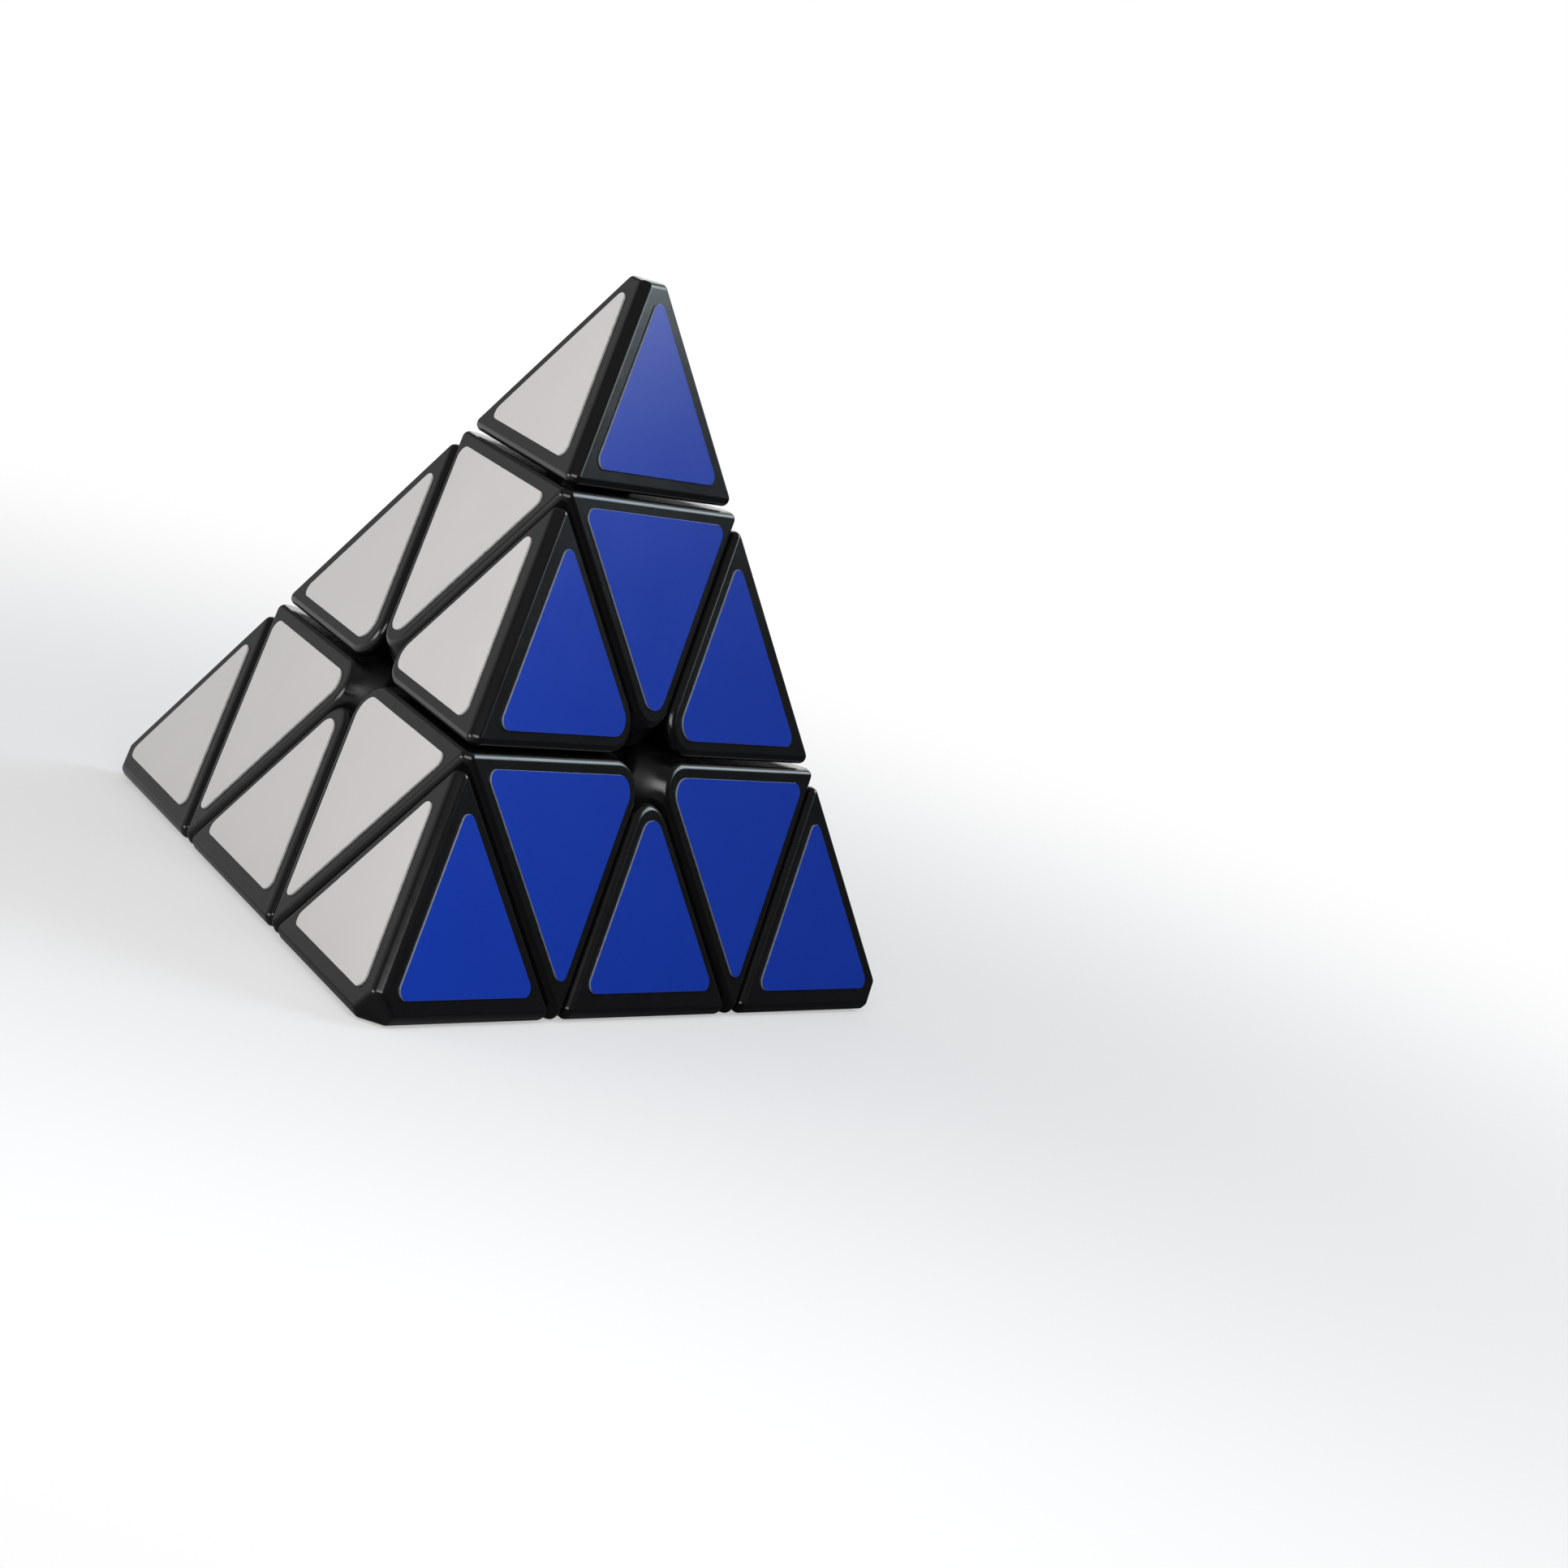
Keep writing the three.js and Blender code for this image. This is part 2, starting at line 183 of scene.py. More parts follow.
def roundingPlanes(a, b, radius, steps):  # extra planes that round the edge between two planes
    bisector = (a[0] + b[0]).normalized()
    halfTurn = a[0].angle(b[0]) / 2
    centre = bisector * ((a[1] - radius) / math.cos(halfTurn))
    between = [a[0].slerp(b[0], step / steps) for step in range(1, steps)]
    return [(normal, normal.dot(centre) + radius) for normal in between]


def asMesh(form):
    mesh = bpy.data.meshes.new("form")
    form.to_mesh(mesh)
    form.free()
    return mesh


def turnedRings(form, outline, segments):  # a ring of vertices for each pair of radius and height
    rings = []
    for radius, z in outline:
        if radius == 0:
            rings.append([form.verts.new((0, 0, z))] * segments)
        else:
            turns = [2 * math.pi * step / segments for step in range(segments)]
            rings.append([form.verts.new((radius * math.cos(t), radius * math.sin(t), z)) for t in turns])
    return rings


def turned(outline, segments):  # a solid of revolution about Z, whose outline ends on the axis
    form = bmesh.new()
    closeRings(form, turnedRings(form, outline, segments))
    return asMesh(form)


def closeRings(form, rings, ends=False):  # skins the rings one to the next, and caps the ends if asked
    count = len(rings[0])
    for low, high in zip(rings, rings[1:]):
        for step in range(count):
            following = (step + 1) % count
            quad = [low[step], low[following], high[following], high[step]]
            form.faces.new(list(dict.fromkeys(quad)))
    if ends:
        form.faces.new(rings[0])
        form.faces.new(rings[-1])
    bmesh.ops.recalc_face_normals(form, faces=form.faces)


def ball(radius, segments=64):
    steps = segments // 2
    angles = [math.pi * step / steps for step in range(steps + 1)]
    outline = [(radius * math.sin(angle), -radius * math.cos(angle)) for angle in angles]
    outline[0], outline[-1] = (0, -radius), (0, radius)
    return turned(outline, segments)


def cylinder(radius, bottom, top, segments=48):
    return turned([(0, bottom), (radius, bottom), (radius, top), (0, top)], segments)


def slab(width, depth, bottom, top, turn):
    form = bmesh.new()
    size = Matrix.Diagonal((width, depth, top - bottom, 1))
    place = Matrix.Rotation(turn, 4, "Z") @ Matrix.Translation((0, 0, (bottom + top) / 2))
    bmesh.ops.create_cube(form, size=1, matrix=place @ size)
    return asMesh(form)


def combine(operation, mesh, *tools):  # boolean work, one tool after another
    for tool in tools:
        holder = bpy.data.objects.new("holder", mesh)
        toolHolder = bpy.data.objects.new("toolHolder", tool)
        for item in (holder, toolHolder):
            bpy.context.collection.objects.link(item)
        modifier = holder.modifiers.new("combine", "BOOLEAN")
        modifier.operation = operation
        modifier.solver = "EXACT"
        modifier.object = toolHolder
        graph = bpy.context.evaluated_depsgraph_get()
        result = bpy.data.meshes.new_from_object(holder.evaluated_get(graph))
        for item in (holder, toolHolder):
            bpy.data.objects.remove(item)
        bpy.data.meshes.remove(mesh)
        bpy.data.meshes.remove(tool)
        mesh = result
    return mesh


# Shader nodes


class Value:
    # a socket that can be used in sums; each sum adds its Math node
    def __init__(self, finish, socket):
        self.finish = finish
        self.socket = socket

    def sum(self, operation, first, second):
        return self.finish.node("ShaderNodeMath", {"operation": operation}, {0: first, 1: second})[0]

    def __add__(self, other):
        return self.sum("ADD", self, other)

    def __radd__(self, other):
        return self.sum("ADD", other, self)

    def __sub__(self, other):
        return self.sum("SUBTRACT", self, other)

    def __rsub__(self, other):
        return self.sum("SUBTRACT", other, self)

    def __mul__(self, other):
        return self.sum("MULTIPLY", self, other)

    def __rmul__(self, other):
        return self.sum("MULTIPLY", other, self)

    def __gt__(self, other):
        return self.sum("GREATER_THAN", self, other)

    def __lt__(self, other):
        return self.sum("LESS_THAN", self, other)

    def __pow__(self, other):
        return self.sum("POWER", self, other)


class Outputs:
    def __init__(self, finish, made):
        self.finish = finish
        self.made = made

    def __getitem__(self, key):
        return Value(self.finish, self.made.outputs[key])


class Finish:
    # the node tree of one material or of the world
    def __init__(self, owner):
        self.owner = owner
        owner.use_nodes = True
        self.tree = owner.node_tree
        self.tree.nodes.clear()

    def node(self, kind, settings=None, sockets=None):
        made = self.tree.nodes.new(kind)
        for name, value in (settings or {}).items():
            if name == "stops":
                for element, (place, colour) in zip(made.color_ramp.elements, value):
                    element.position, element.color = place, colour
            else:
                setattr(made, name, value)
        for key, value in (sockets or {}).items():
            if isinstance(value, Value):
                self.tree.links.new(value.socket, made.inputs[key])
            else:
                made.inputs[key].default_value = value
        return Outputs(self, made)

    def noise(self, position, size, detail=2.0, stretch=None):  # size is that of one blotch, in millimetres
        if stretch:
            position = self.node("ShaderNodeMapping", {}, {"Vector": position, "Scale": stretch})["Vector"]
        sockets = {"Vector": position, "Scale": 1 / (size * mm), "Detail": detail}
        return self.node("ShaderNodeTexNoise", {}, sockets)["Fac"]

    def ramp(self, value, start, end):  # a soft climb from 0 to 1 between two values
        sockets = {"Value": value, "From Min": start, "From Max": end}
        return self.node("ShaderNodeMapRange", {"interpolation_type": "SMOOTHSTEP"}, sockets)["Result"]

    def blend(self, share, first, second):  # between two colours
        sockets = {"Factor": share, 6: first, 7: second}
        return self.node("ShaderNodeMix", {"data_type": "RGBA"}, sockets)[2]

    def specks(self, position, spacing, reach, share):  # 1 inside a few small dots, 0 elsewhere
        cells = self.node("ShaderNodeTexVoronoi", {}, {"Vector": position, "Scale": 1 / (spacing * mm)})
        chosen = self.node("ShaderNodeSeparateColor", {}, {"Color": cells["Color"]})
        return (cells["Distance"] < reach) * (chosen["Red"] < share)

    def surface(self, changing, fixed):
        shader = self.node("ShaderNodeBsdfPrincipled", {}, {**fixed, **changing})
        self.node("ShaderNodeOutputMaterial", {}, {"Surface": shader["BSDF"]})
        return self.owner

    def bump(self, height, depth, strength=1.0, under=None):  # depth in millimetres
        sockets = {"Height": height, "Distance": depth * mm, "Strength": strength}
        if under:
            sockets["Normal"] = under
        return self.node("ShaderNodeBump", {}, sockets)["Normal"]


def newFinish(name):
    finish = Finish(bpy.data.materials.new(name))
    return finish, finish.node("ShaderNodeTexCoord")["Object"]


def shade(colour, factor):
    return (*[channel * factor for channel in colour[:3]], 1)


blackPlastic = {  # sizes and depths in mm; gloss is how much the roughness changes with each of them
    "colour": (0.0042, 0.0041, 0.0046, 1),
    "roughness": 0.20,
    "blotches": {"size": 6.0, "gloss": 0.07},
    "clouding": {"size": 0.7, "gloss": 0.05, "dark": 0.85, "light": 1.2},
    "wave": {"size": 3.0, "depth": 0.02, "strength": 0.5},
    "grain": {"size": 0.10, "depth": 0.0010},
    "scuffs": {"size": 0.5, "stretch": (0.15, 1.0, 1.0), "above": 0.70, "where": 0.52, "gloss": 0.07},
    "dust": {"colour": (0.030, 0.030, 0.032, 1), "spacing": 2.6, "reach": 0.035, "share": 0.22, "cover": 0.8},
    # duller towards the core, and darker there with painted shade that stands in for the shade in the
    # recesses near the core
    "inside": {"from": 20.6, "to": 18.0, "shade": 0.3, "gloss": 0.4},
}


def plasticFinish(name, look):
    finish, position = newFinish(name)
    blotches, clouding, wave, grain = look["blotches"], look["clouding"], look["wave"], look["grain"]
    scuffs, dust, inside, colour = look["scuffs"], look["dust"], look["inside"], look["colour"]
    broad = finish.noise(position, blotches["size"])
    fine = finish.noise(position, clouding["size"], 3.0)
    rubbed = finish.noise(position, scuffs["size"], 4.0, scuffs["stretch"])
    scuffed = (rubbed > scuffs["above"]) * (broad > scuffs["where"])
    dusty = finish.specks(position, dust["spacing"], dust["reach"], dust["share"])
    distance = finish.node("ShaderNodeVectorMath", {"operation": "LENGTH"}, {0: position})["Value"]
    paintedShadeTowardsCore = finish.ramp(distance, inside["from"] * mm, inside["to"] * mm)
    tone = finish.blend(fine, shade(colour, clouding["dark"]), shade(colour, clouding["light"]))
    tone = finish.blend(dusty * dust["cover"], tone, dust["colour"])
    # painted shade: the colour darkens towards the core, where the recesses lie in shade
    tone = finish.blend(paintedShadeTowardsCore, tone, shade(colour, inside["shade"]))
    roughness = look["roughness"] + blotches["gloss"] * (broad - 0.5) + clouding["gloss"] * (fine - 0.5)
    roughness = roughness + scuffs["gloss"] * scuffed + inside["gloss"] * paintedShadeTowardsCore
    skin = finish.bump(finish.noise(position, wave["size"], 1.0), wave["depth"], wave["strength"])
    normal = finish.bump(finish.noise(position, grain["size"]), grain["depth"], under=skin)
    return finish.surface({"Base Color": tone, "Roughness": roughness, "Normal": normal}, {"IOR": 1.5})


vinyl = {
    "roughness": 0.24,
    "blotches": {"size": 9.0, "gloss": 0.03, "dark": 0.965, "light": 1.035},
    "clouding": {"size": 0.9, "gloss": 0.06, "shade": 0.96, "cover": 0.25},
    "peel": {"size": 2.2, "depth": 0.006, "strength": 0.4},
    "grain": {"size": 0.14, "depth": 0.0006},
    "specks": {"spacing": 3.4, "reach": 0.022, "share": 0.12, "cover": 0.5, "white": 0.55, "own": 0.35},
    "colours": {
        "white": (0.722, 0.696, 0.690, 1),
        "blue": (0.0040, 0.0520, 0.5500, 1),
        "red": (0.4300, 0.0120, 0.0180, 1),
        "green": (0.0060, 0.2300, 0.0420, 1),
    },
    "cutEdge": {
        "white": (0.50, 0.49, 0.48, 1),
        "blue": (0.30, 0.33, 0.42, 1),
        "red": (0.48, 0.30, 0.28, 1),
        "green": (0.28, 0.42, 0.30, 1),
    },
}


def vinylFinish(name, colour):
    finish, position = newFinish(name)
    blotches, clouding, peel, grain = vinyl["blotches"], vinyl["clouding"], vinyl["peel"], vinyl["grain"]
    specks = vinyl["specks"]
    broad = finish.noise(position, blotches["size"], 1.0)
    fine = finish.noise(position, clouding["size"], 3.0)
    dots = finish.specks(position, specks["spacing"], specks["reach"], specks["share"])
    pale = (*[specks["white"] + specks["own"] * channel for channel in colour[:3]], 1)
    tone = finish.blend(broad, shade(colour, blotches["dark"]), shade(colour, blotches["light"]))
    tone = finish.blend(fine * clouding["cover"], tone, shade(colour, clouding["shade"]))
    tone = finish.blend(dots * specks["cover"], tone, pale)
    roughness = vinyl["roughness"] + blotches["gloss"] * (broad - 0.5) + clouding["gloss"] * (fine - 0.5)
    skin = finish.bump(finish.noise(position, peel["size"], 1.0), peel["depth"], peel["strength"])
    normal = finish.bump(finish.noise(position, grain["size"]), grain["depth"], under=skin)
    return finish.surface({"Base Color": tone, "Roughness": roughness, "Normal": normal}, {"IOR": 1.5})


tear = {
    "size": 0.6,
    "dark": 0.55,
    "light": 1.35,
    "roughness": 0.45,
    "gloss": 0.2,
    "depth": 0.01,
    "strength": 0.6,
}


def cutEdgeFinish(name, colour):  # the pale, slightly torn side of the vinyl
    finish, position = newFinish(name)
    torn = finish.noise(position, tear["size"], 3.0)
    tone = finish.blend(torn, shade(colour, tear["dark"]), shade(colour, tear["light"]))
    roughness = tear["roughness"] + tear["gloss"] * torn
    normal = finish.bump(torn, tear["depth"], tear["strength"])
    return finish.surface({"Base Color": tone, "Roughness": roughness, "Normal": normal}, {"IOR": 1.5})


steel = {
    "plated": {"colour": (0.58, 0.585, 0.60, 1), "roughness": 0.26},
    "wire": {"colour": (0.64, 0.65, 0.67, 1), "roughness": 0.22},
    "drawn": {"size": 0.12, "stretch": (1.0, 1.0, 0.2), "gloss": 0.1, "depth": 0.004, "strength": 0.8},
    "stain": {"size": 1.6, "dark": 0.8, "light": 1.1, "gloss": 0.15},
}


def steelFinish(name, look):
    finish, position = newFinish(name)
    drawn, stain = steel["drawn"], steel["stain"]
    lines = finish.noise(position, drawn["size"], 3.0, drawn["stretch"])
    stained = finish.noise(position, stain["size"], 3.0)
    tone = finish.blend(stained, shade(look["colour"], stain["dark"]), shade(look["colour"], stain["light"]))
    roughness = look["roughness"] + stain["gloss"] * (stained - 0.5) + drawn["gloss"] * (lines - 0.5)
    normal = finish.bump(lines, drawn["depth"], drawn["strength"])
    return finish.surface({"Base Color": tone, "Roughness": roughness, "Normal": normal}, {"Metallic": 1.0})


# the core keeps the painted shade towards the core, so all of its colour is darkened
corePlastic = {
    **blackPlastic,
    "colour": (0.016, 0.016, 0.018, 1),
    "roughness": 0.42,
    "grain": {"size": 0.10, "depth": 0.006},
}
materials = {
    "black_plastic": plasticFinish("semi-gloss black plastic", blackPlastic),
    "core_plastic": plasticFinish("satin core plastic", corePlastic),
    "screw_steel": steelFinish("plated screw steel", steel["plated"]),
    "spring_steel": steelFinish("drawn spring wire", steel["wire"]),
}
cutEdges = {}
for colourName, colour in vinyl["colours"].items():
    materials[f"{colourName}_vinyl"] = vinylFinish(f"{colourName} vinyl", colour)
    cutEdges[colourName] = cutEdgeFinish(f"{colourName} vinyl cut edge", vinyl["cutEdge"][colourName])
print("finishes", len(materials) + len(cutEdges))


# Pieces

slotOf = {row["node"]: row["material_slot"] for row in frame["record"]["subparts"]}
bodyOf = {node: body for body, nodes in frame["record"]["behaviour"]["bodies"].items() for node in nodes}
worstFit = 0.0


def addPiece(name, node, mesh, place, extraMaterials=(), sharpAngle=32, tolerance=0.5):
    global worstFit
    mesh = mesh.copy()
    mesh.transform(Matrix.Scale(mm, 4) @ place)
    mesh.name = name
    piece = bpy.data.objects.new(name, mesh)
    bpy.context.collection.objects.link(piece)
    if len(mesh.materials):
        mesh.materials.clear()
    for material in (materials[slotOf[node]], *extraMaterials):
        mesh.materials.append(material)
    mesh.shade_smooth()
    mesh.set_sharp_from_angle(angle=math.radians(sharpAngle))
    weighted = piece.modifiers.new("weighted", "WEIGHTED_NORMAL")
    weighted.keep_sharp = True
    low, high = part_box(node)
    points = [vertex.co for vertex in mesh.vertices]
    for axis in range(3):
        values = [point[axis] for point in points]
        miss = max(abs(min(values) - low[axis]), abs(max(values) - high[axis])) / mm
        worstFit = max(worstFit, miss)
        if miss > tolerance:
            raise ValueError(f"{name} misses the box of {node} by {miss:.2f} mm")
    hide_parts(node)
    slotOf[node]
    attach(piece, bodyOf[node])
    return piece


# Tips, axials and edges share one way of rounding. Tips and axials are made with their axis on +Z.
moulding = {
    "gap": 0.4,
    "ridgeWidth": 1.25,  # flat along the puzzle's long ridges
    "apexCut": 4.5,  # depth of the point missing from each tip
    "fillet": 0.9,
    "filletSteps": 6,
    "starRound": 4.0,  # large radius of the corners around the middle of a face
    "starSteps": 24,
}
ridgeDistance = sharpEdge / (2 * math.sqrt(2)) - moulding["ridgeWidth"] / math.sqrt(2)
halfGap = moulding["gap"] / 2
outerFaces = [(-direction, faceDistance) for direction in otherCorners]
ridges = [((up + direction).normalized(), ridgeDistance) for direction in otherCorners]

foot = {"inner": 9.8, "outer": 15.0, "halfAngle": 69, "clearance": 0.4, "reach": 60, "arcSteps": 14}

axial = {
    "tube": {"radius": 5.5, "bottom": 9.9, "top": 18},
    # radius and height up the axis: screw bore, spring chamber, undercut snap socket, countersunk mouth
    "bore": [(0, 0), (1.8, 0), (1.8, 12.5), (3.9, 12.5), (3.9, 24),
             (5.2, 24), (5.2, 28.5), (6.2, 28.8), (6.2, 31), (5.2, 31.3),
             (5.2, tipCut - 0.6), (5.6, tipCut - 0.2), (6.5, tipCut + 0.7), (0, tipCut + 0.7)],
}


def axialMesh():
    cuts = [(direction, layerCut - halfGap) for direction in otherCorners]
    planes = [(-up, -layerCut - halfGap), (up, tipCut - halfGap), *outerFaces, *ridges, *cuts]
    for a, b in combinations(cuts, 2):
        planes += roundingPlanes(a, b, moulding["starRound"], moulding["starSteps"])
    body = roundedBody(planes, moulding["fillet"], moulding["filletSteps"])
    tube = axial["tube"]
    body = combine("DIFFERENCE", body, ball(foot["outer"] + foot["clearance"], 96))
    body = combine("UNION", body, cylinder(tube["radius"], tube["bottom"], tube["top"]))
    return combine("DIFFERENCE", body, turned(axial["bore"], 48))


tip = {
    "wall": 3.0,
    "insideRound": 0.4,
    # outline of the clip, radius and height up the axis, from the nose to where it runs into the tip
    "clip": [(0, 27.6), (4.3, 27.6), (4.75, 27.8), (5.05, 28.5),
             (5.7, 29.3), (5.8, 29.6), (5.8, 30.3), (5.6, 30.5),
             (4.95, 30.7), (4.9, 30.9), (4.9, 36.9), (0, 37)],
    "clipBore": 3.4,
    "clipRoot": 38,
    "slotWidth": 1.2,
    "slotTop": 33.5,
    "slots": 3,
}


def tipMesh():
    apex = sharpEdge * math.sqrt(2 / 3) * 3 / 4 - moulding["apexCut"]
    base = (-up, -tipCut - halfGap)
    shell = roundedBody([base, (up, apex), *outerFaces, *ridges], moulding["fillet"], moulding["filletSteps"])
    hollow = [(normal, offset - tip["wall"]) for normal, offset in (base, *outerFaces)]
    shell = combine("DIFFERENCE", shell, roundedBody(hollow, tip["insideRound"], 3))
    shell = combine("UNION", shell, turned(tip["clip"], 48))
    bottom = tip["clip"][0][1] - 1
    shell = combine("DIFFERENCE", shell, cylinder(tip["clipBore"], bottom, tip["clipRoot"]))
    turns = [slot * math.pi / tip["slots"] for slot in range(tip["slots"])]
    slots = [slab(15, tip["slotWidth"], bottom, tip["slotTop"], turn) for turn in turns]
    return combine("DIFFERENCE", shell, *slots)


edge = {"neckRadius": 15.8, "neckRound": 0.6}


def coneAlong(direction, segments=72):
    length = foot["outer"] + 1
    radius = length * math.tan(math.radians(foot["halfAngle"]))
    cone = turned([(0, 0), (radius, length), (0, length)], segments)
    cone.transform(up.rotation_difference(direction).to_matrix().to_4x4())
    return cone


def edgeMesh():  # +Z points to the middle of the puzzle's edge, which runs along X
    toCorners = [Vector((side * math.sqrt(2), 0, 1)).normalized() for side in (1, -1)]
    faces = [(Vector((0, side * math.sqrt(2), 1)).normalized(), faceDistance) for side in (1, -1)]
    cuts = [(-direction, -layerCut - halfGap) for direction in toCorners]
    star = roundingPlanes(*cuts, moulding["starRound"], moulding["starSteps"])
    planes = [*cuts, *faces, (up, ridgeDistance), *star]
    body = roundedBody(planes, moulding["fillet"], moulding["filletSteps"])
    neck = roundedBody([*cuts, *faces], edge["neckRound"], 3)
    neck = combine("INTERSECT", neck, ball(edge["neckRadius"], 96))
    steps = foot["arcSteps"]
    angles = [math.radians(foot["reach"]) * step / steps for step in range(steps + 1)]
    inner = [(foot["inner"] * math.sin(angle), foot["inner"] * math.cos(angle)) for angle in angles]
    outer = [(foot["outer"] * math.sin(angle), foot["outer"] * math.cos(angle)) for angle in reversed(angles)]
    shell = turned(inner + outer, 72)
    shell = combine("INTERSECT", shell, *[coneAlong(direction) for direction in toCorners])
    return combine("UNION", body, neck, shell)


core = {
    "radius": 9.3,
    "bossRadius": 4.5,
    "seat": 9.5,
    "rim": 0.35,
    "hole": 1.6,
    "holeBottom": 3.0,
    "holePoint": 0.8,
    "countersink": 0.8,
}


def coreMesh():
    mesh = ball(core["radius"], 72)
    seat, rim, bossRadius, root = core["seat"], core["rim"], core["bossRadius"], core["radius"] / 2
    hole, bottom, half = core["hole"], core["holeBottom"], core["countersink"] / 2
    bossOutline = [(0, root), (bossRadius, root), (bossRadius, seat - rim),
                   (bossRadius - rim, seat), (0, seat)]
    holeOutline = [(0, bottom), (hole, bottom + core["holePoint"]), (hole, seat - half),
                   (hole + 2 * half, seat + half), (0, seat + half)]
    for operation, outline in (("UNION", bossOutline), ("DIFFERENCE", holeOutline)):
        for direction in corners.values():
            tool = turned(outline, 40)
            tool.transform(up.rotation_difference(direction).to_matrix().to_4x4())
            mesh = combine(operation, mesh, tool)
    return mesh


screw = {
    "point": 3.6,
    "lead": 0.4,  # length of the blunt cone at the point
    "taper": {"from": 0.55, "length": 1.6},
    "threadEnd": 11.0,
    "pitch": 0.7,
    "samples": 8,  # rings along one pitch
    "valley": 1.2,
    "crest": 1.45,
    "shank": 1.45,
    # washer and head, radius and height
    "head": [(1.45, 20.2), (3.4, 20.2), (3.5, 20.3), (3.5, 20.7), (3.4, 20.8), (2.75, 20.8),
             (2.8, 20.9), (2.8, 21.9), (2.6, 22.3), (2.1, 22.65), (1.4, 22.8), (0, 22.8)],
    "recess": {"width": 0.9, "length": 3.4, "depth": 1.2},
    "segments": 40,
}


def screwMesh():  # the thread is a wave in the shank's own skin, which climbs one pitch a turn
    form = bmesh.new()
    count, pitch, taper = screw["segments"], screw["pitch"], screw["taper"]
    start = screw["point"] + screw["lead"]
    threadLength = screw["threadEnd"] - start
    rings = [[form.verts.new((0, 0, screw["point"]))] * count]
    steps = round(threadLength / pitch * screw["samples"])
    for step in range(steps + 1):
        z = start + threadLength * step / steps
        size = min(1.0, taper["from"] + (1 - taper["from"]) * (z - start) / taper["length"])
        fade = min(1.0, (screw["threadEnd"] - z) / pitch)
        ring = []
        for place in range(count):
            phase = ((z - screw["point"]) / pitch - place / count) % 1.0
            ridge = 1 - abs(2 * phase - 1)
            thread = screw["valley"] + (screw["crest"] - screw["valley"]) * ridge
            radius = size * (thread * fade + screw["shank"] * (1 - fade))
            turn = 2 * math.pi * place / count
            ring.append(form.verts.new((radius * math.cos(turn), radius * math.sin(turn), z)))
        rings.append(ring)
    rings += turnedRings(form, screw["head"], count)
    closeRings(form, rings)
    recess, top = screw["recess"], screw["head"][-1][1]
    turns = (0, math.pi / 2)
    slots = [slab(recess["length"], recess["width"], top - recess["depth"], top + 1, turn) for turn in turns]
    return combine("DIFFERENCE", asMesh(form), *slots)


spring = {
    "wire": 0.7,
    "coil": 3.0,
    "bottom": 12.8,
    "top": 19.9,
    "turns": 5,
    "endPitch": 0.8,
    "steps": 32,
    "sides": 14,
}


def springMesh():  # close turns at both ends, so that each end bears flat
    low, high = spring["bottom"] + spring["wire"] / 2, spring["top"] - spring["wire"] / 2
    openPitch = (high - low - 2 * spring["endPitch"]) / (spring["turns"] - 2)
    form = bmesh.new()
    rings = []
    for step in range(spring["turns"] * spring["steps"] + 1):
        turn = step / spring["steps"]
        opened = min(max(turn - 1, 0), spring["turns"] - 2)
        z = low + (turn - opened) * spring["endPitch"] + opened * openPitch
        outward = Vector((math.cos(2 * math.pi * turn), math.sin(2 * math.pi * turn), 0))
        ring = []
        for side in range(spring["sides"]):
            angle = 2 * math.pi * side / spring["sides"]
            section = outward * math.cos(angle) + up * math.sin(angle)
            ring.append(form.verts.new(outward * spring["coil"] + up * z + section * spring["wire"] / 2))
        rings.append(ring)
    closeRings(form, rings, ends=True)
    return asMesh(form)


def cornerPlace(direction):  # the half turn that swaps the top corner and another one
    if direction == up:
        return Matrix.Identity(4)
    return Quaternion((up + direction).normalized(), math.pi).to_matrix().to_4x4()


def frameOf(x, y, z, origin=(0, 0, 0)):
    turn = Matrix((x, y, z)).transposed().to_4x4()
    return Matrix.Translation(origin) @ turn


axialForm, tipForm, screwForm, springForm = axialMesh(), tipMesh(), screwMesh(), springMesh()
print("corner forms", [len(form.polygons) for form in (axialForm, tipForm, screwForm, springForm)], "faces")
for name, direction in corners.items():
    place = cornerPlace(direction)
    addPiece(f"{name}_axial_moulding", f"{name}_axial", axialForm, place)
    addPiece(f"{name}_tip_moulding", f"{name}_tip", tipForm, place)
    addPiece(f"{name}_screw_threaded", f"{name}_screw", screwForm, place)
    addPiece(f"{name}_spring_coiled", f"{name}_spring", springForm, place)

edgeForm = edgeMesh()
for first, second in combinations(cornerNames, 2):
    along = (corners[first] - corners[second]).normalized()
    outward = (corners[first] + corners[second]).normalized()
    node = f"{first}_{second}_edge"
    addPiece(f"{node}_moulding", node, edgeForm, frameOf(along, outward.cross(along), outward))
print("edge form", len(edgeForm.polygons), "faces")

addPiece("core_moulding", "core", coreMesh(), Matrix.Identity(4))
print("core made")


# Vinyl triangles. In a face, y runs from the face's middle towards one of its corners.
sticker = {
    "thickness": 0.2,
    "lift": 0.01,  # the visual piece reaches down through the adhesive, almost to the plastic
    "softEdge": 0.05,
    "round": 1.1,
    "starRound": 2.0,
    "arcSteps": 10,
    "cutStep": 0.6,  # distance between points along a straight cut
    "cutWander": 0.008,  # how far the blade wanders
    "tip": {"outerEdge": 3.0, "tipCut": 2.6},
    "axial": {"tipCut": 1.8, "layerCut": 1.8},
    "edge": {"outerEdge": 3.2, "layerCut": 2.4},
}
faceOpposite = {"right": "white", "left": "blue", "front": "red", "top": "green"}
third = faceHeight / 3
triangles = {  # where the flat side and the point stand, and how round the point is
    "tip": (third + sticker["tip"]["tipCut"], 2 * third - 2 * sticker["tip"]["outerEdge"], sticker["round"]),
    "axial": (third - sticker["axial"]["tipCut"], 2 * sticker["axial"]["layerCut"], sticker["starRound"]),
    "edge": (sticker["edge"]["outerEdge"] - third, -2 * sticker["edge"]["layerCut"], sticker["starRound"]),
}


